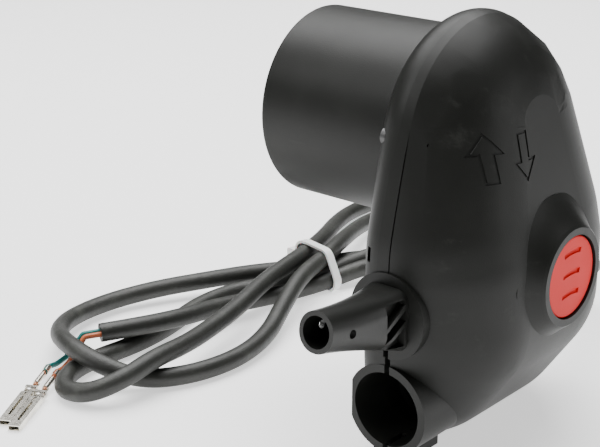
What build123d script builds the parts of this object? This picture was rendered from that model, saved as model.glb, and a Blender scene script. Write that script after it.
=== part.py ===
from build123d import *
import os
from math import acos, cos, hypot, pi, radians, sin, tan

# Powered drive head for a trailer tongue jack, in millimetres.
# Origin: on the axis of the clamp socket, at the middle of its wall.
# +X points to the push button, +Z up, and the socket opens towards -Y.

# Spur train, from the motor down to the worm shaft, and the worm drive below it
MODULE = 1.25
PINION_TEETH = 12
IDLER_TEETH = 50
WORM_GEAR_TEETH = 26
WHEEL_TEETH = 20
WORM_R = 6.85              # pitch radius
WHEEL_W = 10.0
GEAR_X = (17.0, 24.0)      # spur gears lie in front of the front plate
BACKLASH = 0.12            # taken off each flank at the pitch circle
TIP_CLEARANCE = 0.3        # extra root depth
WORM_THREAD = 1.25         # thread thickness at the pitch radius
WORM_HALF = 9.0

WHEEL_R = MODULE * WHEEL_TEETH / 2
PINION_R = MODULE * PINION_TEETH / 2
IDLER_R = MODULE * IDLER_TEETH / 2
WORM_GEAR_R = MODULE * WORM_GEAR_TEETH / 2
WORM_Z = WHEEL_R + WORM_R
IDLER_Z = WORM_Z + WORM_GEAR_R + IDLER_R
MOTOR_Z = IDLER_Z + IDLER_R + PINION_R

# Housing
HEAD_Y = 44.0              # middle plane of the head
HALF_W = 61.5
TOP_R = 52.6               # round top, about the motor axis
TOP_DROP = 1.0             # its centre lies this much below the axis
FLARE = 12.0               # degrees, shoulders
SHOULDER_R = 60.0
BOTTOM_Z = -25.4
FRONT_X = 42.0
REAR_X = -18.0
CHIN_X = 9.5               # where the sloping chin meets the bottom
CHIN_Z = 22.0              # where it meets the front face
BROW_Z = 60.0              # where the front face starts to lean back
BROW_X = 20.0              # how far forward it ends, level with the top
EDGE_R = 40.0
REAR_EDGE_R = 12.0
WALL = 3.0
COVER_R = 42.5             # motor cover
COVER_X = -86.0
COVER_WALL = 2.5
COVER_SEAT = 1.0           # depth of its seat in the rear shell
COVER_EDGE_R = 1.5
SEAM_W = 0.6               # groove along the parting line
SEAM_H = 0.6
ENGRAVING_H = 0.5

# Clamp socket for the jack's tube, its stop shoulder and the chamber of the drive hub
SOCKET_R = 16.3
SOCKET_END = 12.0
CHAMBER_R = 13.5
CHAMBER_END = 26.0
SOCKET_WALL = 3.5
CLAMP_GAP = 2.5
LUG_X = 6.0                # lugs under the socket, half width
SIDE_Y = HEAD_Y - HALF_W   # outer wall on the socket's side

# Output shaft
SHAFT_R = 6.0
BEARING_R = 12.0
BEARING_W = 6.0
WEB = 8.0                  # bearing web in the shells
WEB_X = 16.0
WEB_RING_R = 16.0
BEARING_1 = CHAMBER_END + 1.0
BEARING_2 = 2 * HEAD_Y - BEARING_1 - BEARING_W
WEB_2 = 2 * HEAD_Y - CHAMBER_END - WEB
HUB_R = 11.0
HUB_BORE_R = 8.2
HUB_START = SOCKET_END + 0.6
HUB_BORE_END = HUB_START + 9.0
HUB_SLOT = 5.2
HUB_PIN_R = 1.5
KEY = 3.0
RUN = 0.05                 # radial running clearance of journals
FIT = 0.1                  # clearance of loose seats

# Gear frame
PLATE_T = 2.5
REAR_PLATE_X = REAR_X + WALL
FRONT_PLATE_X = 12.5
PILLAR_R = 4.0
PILLARS = [(s * y, z) for y, z in ((37.0, 53.6), (23.0, 25.6)) for s in (-1, 1)]   # from the middle plane
PLATE_RIM = 4.0            # plate edge around a pillar
SHAFT_X_R = 4.0            # motor, idler and worm shafts
BUSH_R = 6.0
FLANGE_R = 8.0
RING_R = 6.0               # retaining rings
GEAR_HUB_X = 15.4
RING_X = GEAR_X[1] + 0.2
RING_T = 1.0
SHAFT_END_X = RING_X + RING_T + 0.8

# Motor
CAN_R = 38.0
CAN_WALL = 2.0
CAN_REAR = COVER_X + 9.0
BELL_T = 2.5
BELL_BOSS_R = 9.0
MOTOR_REAR = COVER_X + COVER_WALL + 0.5
CORE_R = 25.0
AIR_GAP = 1.0
CORE_X = (-59.5, -33.5)
COIL_L = 7.0
SLOTS = 12
SLOT_R = 2.6
COMMUTATOR_R = 11.0
COMMUTATOR_X = (CAN_REAR + 1.8, CAN_REAR + 8.8)
MOTOR_BEARING_R = 11.0
MOTOR_BEARING_W = 7.0
MOTOR_SCREW_Y = 18.0

# Reaction-bar socket on the side of the housing
PAD_R = 18.5
PAD_H = 1.0
BAR_Z = 42.1               # middle of its base
BAR_RISE = 10.0            # degrees
BAR_L = 44.5
BAR_TIP_R = 8.4
BAR_BORE_R = 6.5
BAR_BASE = (22.0, 27.0)    # X, Z
BAR_BORE_END = 4.0         # floor left below the bore
BAR_PIN_R = 1.85
BAR_PIN_FROM_TIP = 11.5
BAR_STUB_R = 9.0
BAR_FLANGE_R = 12.5

# Push button and its switch
BUTTON_Z = 52.8
BUTTON_R = 17.6
BUTTON_GAP = 0.4
BUTTON_X = 47.2            # outer face
BUTTON_WALL = 2.2
BOSS_X = 48.0
BOSS_R = 22.0
BOSS_FOOT_R = 33.0
BOSS_FOOT_X = 36.5
BOSS_ROOT_X = 34.8
LEDGE_X = 42.8             # holds the button's flange
FLANGE_T = 1.6
CARRIER_X = (36.4, 38.4)
CARRIER_Y = 31.0           # half length
CARRIER_SCREW_Y = 27.0
STEM_R = 3.0
SWITCH = (10.2, 27.8, 10.3)     # body, X Y Z
SPRING_R = 7.0
SPRING_WIRE = 0.9
SPRING_TURNS = 3

# Screws that hold the shells together: Y from the middle plane, and Z
SHELL_SCREWS = [(-47, 111.6), (47, 111.6), (-49, 81.6), (49, 81.6), (49, 7.6), (-38, 24.6)]
SCREW_BOSS_R = 4.2
SCREW_R = 1.9
SCREW_HEAD_R = 3.5
SCREW_HEAD_H = 2.4
SCREW_SEAT_X = -12.0
SCREW_L = 20.0

# Lead: it leaves through the far side wall and lies on the floor
CABLE_R = 4.6
FAR_Y = 2 * HEAD_Y - SIDE_Y   # outer wall on the lead's side
GLAND_Z = 20.0
GLAND_R = CABLE_R + 2.4
GLAND_END = FAR_Y + 13.0
WIRE_R = 1.3
CORE_WIRE_R = 0.9
TIE_AT = (-152.0, 118.0, -14.0)
TIE_WAY = (0.15, 0.989, 0.0)  # along the bundle
TIE_W = 4.5
TIE_T = 1.3
TERMINAL_W = 5.6
TERMINAL_H = 2.8
TERMINAL_WALL = 0.45


def on_floor(x, y, lift=0.0):
    """Point of the lead's centre line where the lead lies on the floor, raised by lift."""
    return (x, y, BOTTOM_Z + CABLE_R + lift)


# Corners of the lead's centre line, from inside the gland to the cut end
ROUTE = [
    # out of the wall and down to the floor
    (0, FAR_Y - 5.5, GLAND_Z), (0, FAR_Y + 28.5, GLAND_Z), (-8, 166, 8), (-31, 189, -7), (-63, 200, -19),
        on_floor(-97, 194),
    on_floor(-127, 177), on_floor(-149, 156), on_floor(-160, 136),
    # first time through the tie, then the large near loop
    on_floor(-163, 114, 2.5), on_floor(-175, 90, 4), on_floor(-186, 66, 4), on_floor(-199, 42, 3),
    on_floor(-209, 16, 1), on_floor(-206, -12, 2), on_floor(-190, -34, 6), on_floor(-168, -46, 10.3),
    on_floor(-146, -47, 7.5), on_floor(-128, -37, 0.8), on_floor(-115, -16), on_floor(-111, 12),
    on_floor(-117, 39, 1), on_floor(-129, 64, 5.5), on_floor(-140, 90, 10.8),
    # second time, and the inner far loop
    on_floor(-147.2, 117.5, 11.2), on_floor(-157, 146, 11.8), on_floor(-170, 174, 7.5),
        on_floor(-182, 202, 2),
    on_floor(-185, 232), on_floor(-170, 262), on_floor(-140, 275), on_floor(-109, 265), on_floor(-91, 238),
    on_floor(-92, 208, 8.5), on_floor(-107, 181, 11), on_floor(-127, 163, 9.8), on_floor(-143, 145, 4.5),
    # third time, and the tight fold at the near end
    on_floor(-150, 120, 0.2), on_floor(-162, 93), on_floor(-172, 68), on_floor(-171, 42), on_floor(-163, 16),
    on_floor(-160, -10), on_floor(-162.5, -34), on_floor(-160, -53), on_floor(-149, -66),
        on_floor(-133, -64, 2),
    on_floor(-124, -50, 7.5), on_floor(-124, -31, 11), on_floor(-127, -8, 9.2), on_floor(-133, 17, 8.6),
    on_floor(-139, 42, 9.6), on_floor(-147, 66, 11.2), on_floor(-153, 90, 12),
    # fourth time, and the outer far loop
    on_floor(-158.5, 115, 12), on_floor(-171, 146, 9.5), on_floor(-189, 178, 5), on_floor(-203, 210, 1),
    on_floor(-205, 245), on_floor(-190, 278), on_floor(-158, 299), on_floor(-120, 298), on_floor(-88, 277),
    on_floor(-72, 244), on_floor(-73, 210, 11.5), on_floor(-88, 181, 13), on_floor(-113, 159, 10),
    on_floor(-134, 138, 4),
    # fifth time, and the cut end across the near loop
    on_floor(-142, 114), on_floor(-147, 91), on_floor(-152, 67, 1.5), on_floor(-154, 42, 5),
    on_floor(-152, 17, 8.5), on_floor(-156, -6, 10.2), on_floor(-167, -26, 9.6)]

# Each wire: its side of the lead, two corners on the way down, and the rear and tip of its terminal
WIRES = {
    "wire_green": (1.9, [(-175.5, -41, -21.5), (-175, -47.5, -22.6)], (-172.9, -54.0, -21.4),
                   (-147.7, -99.8, -24.0)),
    "wire_orange": (-1.9, [(-170.8, -42.5, -21.5), (-168.3, -49, -22.4)], (-165.7, -54.5, -21.4),
                    (-140.5, -100.5, -24.0))}


def rod_x(r, x0, x1, y=HEAD_Y, z=0.0):
    """Round bar along X."""
    return Pos(x0, y, z) * Rot(0, 90, 0) * Cylinder(r, x1 - x0,
                                                    align=(Align.CENTER, Align.CENTER, Align.MIN))


def rod_y(r, y0, y1, x=0.0, z=0.0):
    """Round bar along Y."""
    return Pos(x, y0, z) * Rot(-90, 0, 0) * Cylinder(r, y1 - y0,
                                                     align=(Align.CENTER, Align.CENTER, Align.MIN))


def block(x0, x1, y0, y1, z0, z1):
    """Box between two corners."""
    return Pos((x0 + x1) / 2, (y0 + y1) / 2, (z0 + z1) / 2) * Box(abs(x1 - x0), abs(y1 - y0), abs(z1 - z0))


def one(shape):
    """The shape as a single solid, or a compound where it has several."""
    solids = shape.solids()
    return solids[0] if len(solids) == 1 else Compound(children=solids)


# ---------------------------------------------------------------- housing

def housing_outline(inset):
    """Front view of the head, moved inwards by inset: round top, flared shoulders, straight sides."""
    r, half = TOP_R - inset, HALF_W - inset
    slope = radians(FLARE)
    top_z = MOTOR_Z - TOP_DROP
    ty, tz = r * cos(slope), top_z + r * sin(slope)
    shoulder_z = tz - (half - ty) / tan(slope)
    bottom = BOTTOM_Z + inset
    with BuildSketch(Plane.YZ) as sketch:
        with BuildLine():
            ThreePointArc((HEAD_Y - ty, tz), (HEAD_Y, top_z + r), (HEAD_Y + ty, tz))
            Polyline((HEAD_Y + ty, tz), (HEAD_Y + half, shoulder_z), (HEAD_Y + half, bottom),
                     (HEAD_Y - half, bottom), (HEAD_Y - half, shoulder_z), (HEAD_Y - ty, tz))
        make_face()
        fillet([v for v in sketch.vertices() if abs(v.Y - shoulder_z) < 1e-3], SHOULDER_R)
    return sketch.sketch


def slope_cut(low, high, inset):
    """The space in front of a sloping face through two points in X and Z, moved inwards by inset."""
    run, rise = high[0] - low[0], high[1] - low[1]
    out_x, out_z = rise / hypot(run, rise), -run / hypot(run, rise)
    near = [(x - out_x * inset + k * run, z - out_z * inset + k * rise)
            for (x, z), k in ((low, -2), (high, 2))]
    far = [(x + 200 * out_x, z + 200 * out_z) for x, z in reversed(near)]
    return extrude(make_face(Plane.XZ * Polyline(*near, *far, close=True)), 400, both=True)


def housing_body(inset):
    """Whole head as one rounded body; with an inset it is the hollow inside the walls."""
    rear, bottom = REAR_X + inset, BOTTOM_Z + inset
    body = extrude(Pos(rear, 0, 0) * housing_outline(inset), FRONT_X - REAR_X - 2 * inset)
    body -= slope_cut((CHIN_X, BOTTOM_Z), (FRONT_X, CHIN_Z), inset)
    body -= slope_cut((FRONT_X, BROW_Z), (BROW_X, MOTOR_Z - TOP_DROP + TOP_R), inset)

    def at_rear(edge):
        return edge.bounding_box().max.X < rear + 1e-3

    def smooth(edge):
        box = edge.bounding_box()
        return box.size.Y < 1e-4 and box.size.Z < 1e-4 and box.min.Z > bottom + 1

    body = fillet([e for e in body.edges() if not at_rear(e) and not smooth(e)], EDGE_R - inset)
    return fillet([e for e in body.edges() if at_rear(e)], REAR_EDGE_R - inset)


def bearing_webs(hollow):
    """Two webs across the inside that carry the output bearings, and a ring round each seat."""
    webs = []
    for y in (CHAMBER_END, WEB_2):
        webs.append(hollow & block(REAR_X, WEB_X, y, y + WEB, BOTTOM_Z, 8.0))
        webs.append(rod_y(WEB_RING_R, y, y + WEB) & block(-12, 12, y, y + WEB, 0, 20))
    return webs


def screw_boss(y, z, body):
    """Boss through the whole head for one shell screw, with its hole and the recess of its head."""
    y += HEAD_Y
    boss = rod_x(SCREW_BOSS_R, REAR_X, FRONT_X, y, z) & body
    hole = (rod_x(SCREW_R + 0.2, SCREW_SEAT_X - 1, 0, y, z)
            + rod_x(SCREW_R - 0.15, 0, SCREW_SEAT_X + SCREW_L, y, z))
    return boss, hole + rod_x(SCREW_HEAD_R + 0.3, REAR_X - 1, SCREW_SEAT_X, y, z)


def button_boss():
    """Raised round boss with a flared foot, turned about the button's axis."""
    with BuildSketch(Plane.XY) as profile:
        with BuildLine():
            Polyline((BOSS_FOOT_X, BOSS_FOOT_R), (BOSS_ROOT_X, BOSS_FOOT_R), (BOSS_ROOT_X, 0), (BOSS_X, 0),
                     (BOSS_X, BOSS_R - 1), (BOSS_X - 1, BOSS_R))
            ThreePointArc((BOSS_X - 1, BOSS_R), (BOSS_X - 5.0, BOSS_R + 3.2), (BOSS_FOOT_X, BOSS_FOOT_R))
        make_face()
    return Pos(0, HEAD_Y, BUTTON_Z) * revolve(profile.sketch, Axis.X)


def arrow(y, z, way):
    """Outline arrow for the engraving, pointing up (way 1) or down (way -1)."""
    head, stem, wide, thin = 9.0, 11.0, 7.5, 3.2
    points = [(0, way * head), (wide, 0), (thin, 0), (thin, -way * stem), (-thin, -way * stem), (-thin, 0),
              (-wide, 0)]
    line = Polyline([(HEAD_Y + y + p, z + q) for p, q in points], close=True)
    outer = make_face(Plane.YZ * line)
    return outer - offset(outer, -1.1, kind=Kind.INTERSECTION)


def engraving():
    """Shallow up and down arrows on the front face: which way the jack is driven."""
    mark = arrow(-34.0, 108.0, 1) + arrow(-16.0, 104.0, -1)
    return extrude(Pos(BROW_X, 0, 0) * mark, FRONT_X - BROW_X, dir=(1, 0, 0)) - housing_body(ENGRAVING_H)


def seam_groove():
    """Thin groove all along the parting line."""
    return (housing_body(0) - housing_body(SEAM_H)) & block(-SEAM_W / 2, SEAM_W / 2, -300, 300, -300, 300)


def head_cuts():
    """Spaces cut through both shells: socket, chamber, bearing seats, clamp gap and the bar's stub."""
    cuts = [rod_y(SOCKET_R, SIDE_Y - 5, SOCKET_END),
            rod_y(CHAMBER_R, SOCKET_END - 1, CHAMBER_END),
            rod_y(SHAFT_R + 3.0, CHAMBER_END - 1, WEB_2 + WEB),
            rod_y(BEARING_R, BEARING_1, BEARING_1 + BEARING_W + 1.5),
            rod_y(BEARING_R, BEARING_2 - 1.5, BEARING_2 + BEARING_W),
            block(-CLAMP_GAP / 2, CLAMP_GAP / 2, SIDE_Y - 5, SOCKET_END, 0, BAR_Z - BAR_STUB_R - 4),
            block(-CLAMP_GAP / 2, CLAMP_GAP / 2, SIDE_Y - 5, -4, BOTTOM_Z - 5, 0),
            rod_y(BAR_STUB_R + FIT, SIDE_Y - 5, SIDE_Y + WALL + 1, z=BAR_Z),
            rod_y(BAR_FLANGE_R + 0.3, SIDE_Y + WALL, SIDE_Y + WALL + 5, z=BAR_Z),
            rod_y(GLAND_R + FIT, FAR_Y - WALL - 1, FAR_Y + 1, z=GLAND_Z),
            rod_y(GLAND_R + 2.4, FAR_Y - WALL - 4, FAR_Y - WALL, z=GLAND_Z),
            seam_groove()]
    return cuts


def shells():
    """Front and rear shell: the head split at X = 0."""
    body = housing_body(0)
    hollow = housing_body(WALL)
    pad = rod_y(PAD_R, SIDE_Y - PAD_H, SIDE_Y + 10, z=BAR_Z) & block(REAR_X, FRONT_X, -99, 99, 0, 99)
    solid = body + pad
    tube = rod_y(SOCKET_R + SOCKET_WALL, SIDE_Y, CHAMBER_END) & block(REAR_X, FRONT_X, -99, 99, -99, 99)
    lugs = block(-LUG_X, LUG_X, SIDE_Y, SOCKET_END, BOTTOM_Z, -SOCKET_R)
    walls = solid - hollow + tube + lugs
    for web in bearing_webs(hollow):
        walls += web
    holes = []
    for y, z in SHELL_SCREWS:
        boss, hole = screw_boss(y, z, body)
        walls += boss
        holes.append(hole)
    for cut in head_cuts() + holes:
        walls -= cut
    big = 300
    front = walls & block(0, big, -big, big, -big, big)
    rear = walls & block(-big, 0, -big, big, -big, big)
    front = front_shell_features(front)
    rear = rear_shell_features(rear)
    return one(front), one(rear)


def front_shell_features(front):
    """Button boss with its hole and flange recess, seat and bosses of the carrier, and the engraving."""
    front += button_boss() - housing_body(WALL)
    for s in (-1, 1):
        front += rod_x(SCREW_BOSS_R, CARRIER_X[1], FRONT_X - 1, HEAD_Y + s * CARRIER_SCREW_Y, BUTTON_Z)
    front -= rod_x(BUTTON_R + BUTTON_GAP, LEDGE_X - 1, BOSS_X + 1, z=BUTTON_Z)
    front -= rod_x(BUTTON_R + 2.8, CARRIER_X[0] - 3, LEDGE_X, z=BUTTON_Z)
    half = SWITCH[2] / 2 + 2.5
    front -= block(CARRIER_X[0] - 1, CARRIER_X[1], HEAD_Y - CARRIER_Y - 0.3, HEAD_Y + CARRIER_Y + 0.3,
                   BUTTON_Z - half, BUTTON_Z + half)
    for s in (-1, 1):
        front -= rod_x(1.3, CARRIER_X[1] - 1, FRONT_X - 1.2, HEAD_Y + s * CARRIER_SCREW_Y, BUTTON_Z)
    return front - engraving()


def rear_shell_features(rear):
    """Ring recess and opening for the motor cover, frame screw holes and the snap window."""
    rear -= rod_x(COVER_R + FIT, REAR_X - 1, REAR_X + COVER_SEAT, z=MOTOR_Z)
    rear -= rod_x(COVER_R - COVER_WALL - 0.5, REAR_X, REAR_PLATE_X + 1, z=MOTOR_Z)
    for y, z in PILLARS:
        rear -= rod_x(SCREW_R + 0.2, REAR_X - 1, REAR_PLATE_X + 1, HEAD_Y + y, z)
        rear -= rod_x(SCREW_HEAD_R + 0.3, REAR_X - 1, REAR_X + 1.4, HEAD_Y + y, z)
    return rear - block(-12.4, -10.2, SIDE_Y - 1, SIDE_Y + WALL + 1, 62.3, 68.5)


def motor_cover():
    """Cup over the motor, bonded into the ring recess of the rear shell."""
    cover = rod_x(COVER_R, COVER_X, REAR_X + COVER_SEAT, z=MOTOR_Z)
    cover = fillet(cover.faces().sort_by(Axis.X)[0].edges(), COVER_EDGE_R)
    return one(cover - rod_x(COVER_R - COVER_WALL - 0.5, COVER_X + COVER_WALL, REAR_X + 5, z=MOTOR_Z))


def screw(x0, x1, y, z, r=SCREW_R, head_r=SCREW_HEAD_R, head_h=SCREW_HEAD_H):
    """Pan-head screw along X: head outside x0, shank from x0 to x1, cross recess in the head."""
    way = 1 if x1 > x0 else -1
    top = x0 - way * head_h
    body = rod_x(r, min(x0, x1), max(x0, x1), y, z) + rod_x(head_r, min(x0, top), max(x0, top), y, z)
    for a, b in ((head_r * 0.6, 0.45), (0.45, head_r * 0.6)):
        body -= block(top - head_h * 0.5, top + head_h * 0.5, y - a, y + a, z - b, z + b)
    return body


def shell_screws():
    return [screw(SCREW_SEAT_X, SCREW_SEAT_X + SCREW_L - 2, HEAD_Y + y, z, r=SCREW_R - 0.2)
            for y, z in SHELL_SCREWS]


# ---------------------------------------------------------------- reaction-bar socket

def bar_axis():
    """Unit vector of the bar's axis, out of the housing, and the middle of its base and tip."""
    way = Vector(0, -cos(radians(BAR_RISE)), sin(radians(BAR_RISE)))
    base = Vector(0, SIDE_Y - PAD_H, BAR_Z)
    return way, base, base + way * BAR_L


def reaction_bar_socket():
    """Tapered spout with a flat base, ribbed windows at its root and a flanged stub inside the wall."""
    way, base, tip = bar_axis()
    root_plane = Plane(origin=base, x_dir=(1, 0, 0), z_dir=(0, -1, 0))
    neck_plane = Plane(origin=base + way * (BAR_L * 0.42), x_dir=(1, 0, 0), z_dir=way)
    tip_plane = Plane(origin=tip, x_dir=(1, 0, 0), z_dir=way)
    width, height = BAR_BASE
    root = root_plane * RectangleRounded(width, height, 6)
    neck = neck_plane * RectangleRounded(2 * BAR_TIP_R + 2.6, 2 * BAR_TIP_R + 4.4, BAR_TIP_R)
    end = tip_plane * RectangleRounded(2 * BAR_TIP_R, 2 * BAR_TIP_R, BAR_TIP_R - 0.3)
    spout = loft([root, neck, end])
    spout += rod_y(BAR_STUB_R, base.Y, SIDE_Y + WALL + FIT, z=BAR_Z)
    spout += rod_y(BAR_FLANGE_R, SIDE_Y + WALL + FIT, SIDE_Y + WALL + FIT + 3, z=BAR_Z)
    for s in (-1, 1):
        window = block(s * 7.0, s * 14.0, base.Y - 12.5, base.Y - 1.5, BAR_Z - 9.5, BAR_Z + 10.5)
        for k in (-1, 1):
            rib = Pos(s * 10, base.Y - 7, BAR_Z + 0.5 + 3.4 * k) * Rot(33, 0, 0) * Box(12, 24, 1.7)
            window -= rib
        spout -= window
    bore = extrude(tip_plane * Circle(BAR_BORE_R), -(BAR_L - BAR_BORE_END))
    pin = Pos(*(tip - way * BAR_PIN_FROM_TIP)) * Rot(0, 90, 0) * Cylinder(BAR_PIN_R, 60)
    return one(spout - bore - pin)


# ---------------------------------------------------------------- gears

def gear_profile(teeth, first=0.0, thin=BACKLASH):
    """Involute gear outline. A flank runs through three points of the involute of the base circle,
    angle(r) = half tooth + inv(20) - inv(acos(base / r))."""
    r = MODULE * teeth / 2
    base, tip, root = r * cos(radians(20)), r + MODULE, r - 1.25 * MODULE - TIP_CLEARANCE + 0.3
    half = pi / 2 / teeth - thin / r

    def at(radius, side, middle):
        press = acos(min(1.0, base / radius))
        turn = middle + side * (half + tan(radians(20)) - radians(20) - tan(press) + press)
        return Vector(radius * cos(turn), radius * sin(turn))

    edges = []
    for k in range(teeth):
        middle = radians(first) + 2 * pi * k / teeth
        after = middle + 2 * pi / teeth
        edges.append(Edge.make_three_point_arc(at(root, -1, middle), at(r, -1, middle), at(tip, -1, middle)))
        crown = Vector(tip * cos(middle), tip * sin(middle))
        edges.append(Edge.make_three_point_arc(at(tip, -1, middle), crown, at(tip, 1, middle)))
        edges.append(Edge.make_three_point_arc(at(tip, 1, middle), at(r, 1, middle), at(root, 1, middle)))
        valley = (middle + after) / 2
        floor = Vector(root * cos(valley), root * sin(valley))
        edges.append(Edge.make_three_point_arc(at(root, 1, middle), floor, at(root, -1, after)))
    return Face(Wire(edges))


def gear_x(teeth, bore, x0, x1, z, first=0.0):
    """Spur gear on an axis along X; its first tooth points down."""
    gear = extrude(gear_profile(teeth, first), x1 - x0) - Cylinder(bore, 4 * (x1 - x0))
    return Pos(x0, HEAD_Y, z) * Rot(0, 90, 0) * gear


def lightened(gear, teeth, z, spokes):
    """Round holes between the hub and the rim."""
    pitch = MODULE * teeth / 2
    ring = (pitch - 3 * MODULE + 9.0) / 2
    hole = (pitch - 3 * MODULE - 9.0) / 2 - 1.2
    for k in range(spokes):
        turn = 2 * pi * (k + 0.5) / spokes
        gear -= rod_x(hole, GEAR_X[0] - 1, GEAR_X[1] + 1, HEAD_Y + ring * sin(turn), z + ring * cos(turn))
    return gear


def idler_gear():
    gear = gear_x(IDLER_TEETH, SHAFT_X_R + RUN, *GEAR_X, IDLER_Z, first=180 / IDLER_TEETH)
    hub = rod_x(8.5, GEAR_HUB_X, GEAR_X[0], z=IDLER_Z) - rod_x(SHAFT_X_R + RUN, 0, 40, z=IDLER_Z)
    return one(lightened(gear, IDLER_TEETH, IDLER_Z, 6) + hub)


def worm_shaft_gear():
    gear = gear_x(WORM_GEAR_TEETH, SHAFT_X_R, *GEAR_X, WORM_Z)
    hub = rod_x(7.5, GEAR_HUB_X + 0.6, GEAR_X[0], z=WORM_Z) - rod_x(SHAFT_X_R, 0, 40, z=WORM_Z)
    return one(gear + hub)


def worm_shaft():
    """Single-start right-hand worm between two collars, on a shaft that carries the spur gear."""
    pitch = MODULE * pi
    reach = WORM_HALF + pitch
    root, tip = WORM_R - 1.25 * MODULE, WORM_R + MODULE
    helix = Helix(pitch, 2 * reach, WORM_R, center=(0, 0, -reach))
    slant = tan(radians(20))
    low, high = root - 0.3 - WORM_R, tip - WORM_R
    wide, narrow = WORM_THREAD / 2 - low * slant, WORM_THREAD / 2 - high * slant
    start = helix @ 0
    section = Plane(origin=start, x_dir=(start.X, start.Y, 0), z_dir=helix % 0)
    outline = Polyline((low, -wide), (high, -narrow), (high, narrow), (low, wide), close=True)
    thread = sweep(make_face(section * outline), path=helix, is_frenet=True)
    worm = thread & Cylinder(tip + 1, 2 * WORM_HALF)
    worm += Cylinder(root, 2 * WORM_HALF)
    worm = Pos(0, HEAD_Y, WORM_Z) * Rot(0, 90, 0) * Rot(0, 0, -360 * reach / pitch) * worm
    thrust = FRONT_PLATE_X - 1.2 - FIT
    shaft = rod_x(SHAFT_X_R, REAR_PLATE_X + 0.3, SHAFT_END_X, z=WORM_Z)
    shaft -= ring_groove(SHAFT_X_R, WORM_Z)
    for a, b in ((-thrust, -WORM_HALF), (WORM_HALF, thrust)):
        shaft += rod_x(root, a, b, z=WORM_Z)
    return one(worm + shaft)


def ring_groove(r, z):
    """Groove for a retaining ring in front of the spur gears."""
    return rod_x(r + 1, RING_X, RING_X + RING_T, z=z) - rod_x(r - 0.6, RING_X - 1, RING_X + 2, z=z)


def retaining_ring(z):
    """Open spring ring in its groove."""
    ring = rod_x(RING_R, RING_X + 0.05, RING_X + RING_T - 0.05, z=z)
    ring -= rod_x(SHAFT_X_R - 0.55, RING_X - 1, RING_X + 2, z=z)
    return one(ring - block(RING_X - 1, RING_X + 2, HEAD_Y - 2.2, HEAD_Y + 2.2, z, z + 8))


def idler_ring():
    return retaining_ring(IDLER_Z)


def worm_shaft_ring():
    return retaining_ring(WORM_Z)


def worm_wheel():
    """Bronze wheel with a keyway; a gap between teeth faces the worm."""
    teeth = extrude(gear_profile(WHEEL_TEETH, 180 / WHEEL_TEETH, thin=0.22), WHEEL_W)
    wheel = Pos(0, HEAD_Y - WHEEL_W / 2, 0) * Rot(-90, 0, 0) * teeth
    wheel -= rod_y(SHAFT_R, 0, 90)
    return one(wheel - block(-KEY / 2, KEY / 2, 0, 90, 0, SHAFT_R + KEY / 2 + FIT))


def wheel_key():
    """Square key between the wheel and its shaft."""
    half = WHEEL_W / 2
    return one(block(-KEY / 2, KEY / 2, HEAD_Y - half, HEAD_Y + half, SHAFT_R - KEY / 2, SHAFT_R + KEY / 2))


# ---------------------------------------------------------------- output shaft

def output_shaft():
    """Shaft with a collar on each side of the wheel, a keyway and the hub's pin hole."""
    shaft = rod_y(SHAFT_R, HUB_BORE_END + 0.5, BEARING_2 + BEARING_W + 1)
    shaft = chamfer(shaft.edges().filter_by(GeomType.CIRCLE), 0.5)
    shaft += rod_y(SHAFT_R + 2, BEARING_1 + BEARING_W + FIT, HEAD_Y - WHEEL_W / 2 - 0.02)
    shaft -= block(-KEY / 2, KEY / 2, HEAD_Y - WHEEL_W / 2, HEAD_Y + WHEEL_W / 2,
                   SHAFT_R - KEY / 2, SHAFT_R + 4)
    return one(shaft - rod_x(HUB_PIN_R, -20, 20, hub_pin_y(), 0))


def hub_pin_y():
    return (HUB_BORE_END + CHAMBER_END) / 2


def output_hub():
    """Cup that takes the end of the jack's crank shaft, with two slots for its cross pin."""
    hub = rod_y(HUB_R, HUB_START, CHAMBER_END - 0.4)
    hub = chamfer(hub.edges().filter_by(GeomType.CIRCLE), 0.8)
    hub -= rod_y(HUB_BORE_R, HUB_START - 1, HUB_BORE_END)
    hub -= rod_y(SHAFT_R, HUB_BORE_END - 1, CHAMBER_END + 2)
    hub -= block(-HUB_R - 1, HUB_R + 1, HUB_START - 1, HUB_BORE_END - 2, -HUB_SLOT / 2, HUB_SLOT / 2)
    return one(hub - rod_x(HUB_PIN_R, -20, 20, hub_pin_y(), 0))


def hub_pin():
    """Pin through the hub and the shaft."""
    return one(rod_x(HUB_PIN_R, -HUB_R + 0.3, HUB_R - 0.3, hub_pin_y(), 0))


def spacer_sleeve():
    """Sleeve that keeps the wheel off the second bearing."""
    return one(rod_y(SHAFT_R + 2, HEAD_Y + WHEEL_W / 2 + 0.02, BEARING_2 - FIT)
               - rod_y(SHAFT_R, 0, 90))


def bearing(axis, inner, outer, start, width, z):
    """Deep-groove ball bearing as two races with a shield between them."""
    rod = rod_x if axis == "x" else rod_y
    place = dict(z=z)
    race = rod(outer, start, start + width, **place) - rod(inner, start - 1, start + width + 1, **place)
    wall = (outer - inner) * 0.3
    for a, b in ((start - 1, start + 0.4), (start + width - 0.4, start + width + 1)):
        race -= rod(outer - wall, a, b, **place) - rod(inner + wall, a - 1, b + 1, **place)
    return race


def output_bearings():
    return [bearing("y", SHAFT_R + 0.02, BEARING_R, start, BEARING_W, 0) for start in (BEARING_1, BEARING_2)]


# ---------------------------------------------------------------- gear frame

def hull(circles, x0):
    """Plate of PLATE_T round the given circles (y from the middle plane, z, r)."""
    outline = make_hull([Pos(y, z) * Circle(r).edge() for y, z, r in circles])
    return extrude(Plane(origin=(x0, HEAD_Y, 0), x_dir=(0, 1, 0), z_dir=(1, 0, 0)) * outline, PLATE_T)


def plate_circles(top_r):
    lugs = [(y, z, PILLAR_R + PLATE_RIM) for y, z in PILLARS]
    return lugs + [(0, WORM_Z, BUSH_R + 3.5), (0, MOTOR_Z, top_r)]


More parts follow.
